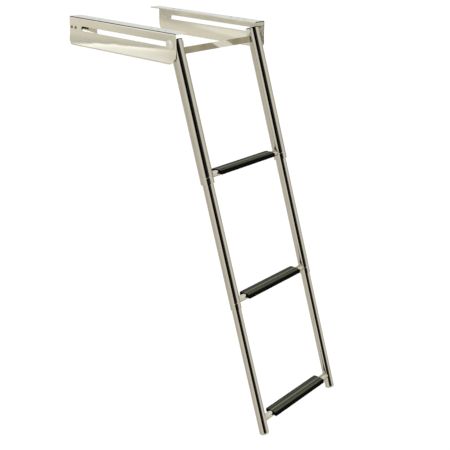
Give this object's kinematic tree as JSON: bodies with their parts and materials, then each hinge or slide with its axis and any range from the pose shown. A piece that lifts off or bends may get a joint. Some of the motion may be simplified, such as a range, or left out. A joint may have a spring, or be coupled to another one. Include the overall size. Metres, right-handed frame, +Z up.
{
  "type": "boat boarding ladder",
  "caption": "Under-platform stainless boarding ladder: two slotted mounting tracks carry a sliding, folding ladder whose lower sections telescope up.",
  "frame": {"origin": "centre of the outer bolt rectangle on the mounting plane, the top face of the track flanges", "axes": "+X across the ladder, +Y inboard along the tracks, +Z up through the mounting flanges"},
  "size_m": [0.3148, 0.6413, 0.8934],
  "materials": {
    "track_steel": "polished",
    "rail_steel": "polished",
    "fastener_steel": "polished",
    "spring_steel": "rolled",
    "nylon": "satin",
    "tread_plastic": "ribbed, satin",
    "plug_plastic": "satin",
    "cap_plastic": "satin"
  },
  "bodies": {
    "tracks": {"left_track": "track_steel", "right_track": "track_steel", "stow_spring": "spring_steel", "stow_rivets": "fastener_steel"},
    "carriage": {"left_pivot_bolt": "fastener_steel", "right_pivot_bolt": "fastener_steel", "left_head_washer": "nylon", "right_head_washer": "nylon", "left_slot_bush": "nylon", "right_slot_bush": "nylon", "left_side_washer": "nylon", "right_side_washer": "nylon", "left_pivot_nut": "fastener_steel", "right_pivot_nut": "fastener_steel"},
    "upper_section": {"left_upper_rail": "rail_steel", "right_upper_rail": "rail_steel", "left_pivot_sleeve": "rail_steel", "right_pivot_sleeve": "rail_steel", "left_top_cap": "cap_plastic", "right_top_cap": "cap_plastic", "crossbar": "rail_steel", "left_upper_guide": "nylon", "right_upper_guide": "nylon", "upper_step": "rail_steel", "upper_tread": "tread_plastic", "upper_tread_screws": "fastener_steel"},
    "middle_section": {"left_middle_rail": "rail_steel", "right_middle_rail": "rail_steel", "left_middle_stop": "nylon", "right_middle_stop": "nylon", "left_middle_guide": "nylon", "right_middle_guide": "nylon", "middle_step": "rail_steel", "middle_tread": "tread_plastic", "middle_tread_screws": "fastener_steel"},
    "lower_section": {"left_lower_rail": "rail_steel", "right_lower_rail": "rail_steel", "left_lower_stop": "nylon", "right_lower_stop": "nylon", "left_foot_plug": "plug_plastic", "right_foot_plug": "plug_plastic", "lower_step": "rail_steel", "lower_tread": "tread_plastic", "lower_tread_screws": "fastener_steel"}
  },
  "joints": [
    {"name": "track_slide", "type": "slide", "parent": "tracks", "child": "carriage", "axis": [0, 1, 0], "range_m": [0, 0.293], "deforming": ["stow_spring"]},
    {"name": "ladder_fold", "type": "hinge", "parent": "carriage", "child": "upper_section", "pos_m": [0, -0.151, -0.0255], "axis": [-1, 0, 0], "range_deg": [0, 71.5]},
    {"name": "middle_telescope", "type": "slide", "parent": "upper_section", "child": "middle_section", "axis": [0, 0.3173, 0.9483], "range_m": [0, 0.24]},
    {"name": "lower_telescope", "type": "slide", "parent": "middle_section", "child": "lower_section", "axis": [0, 0.3173, 0.9483], "range_m": [0, 0.238]}
  ]
}
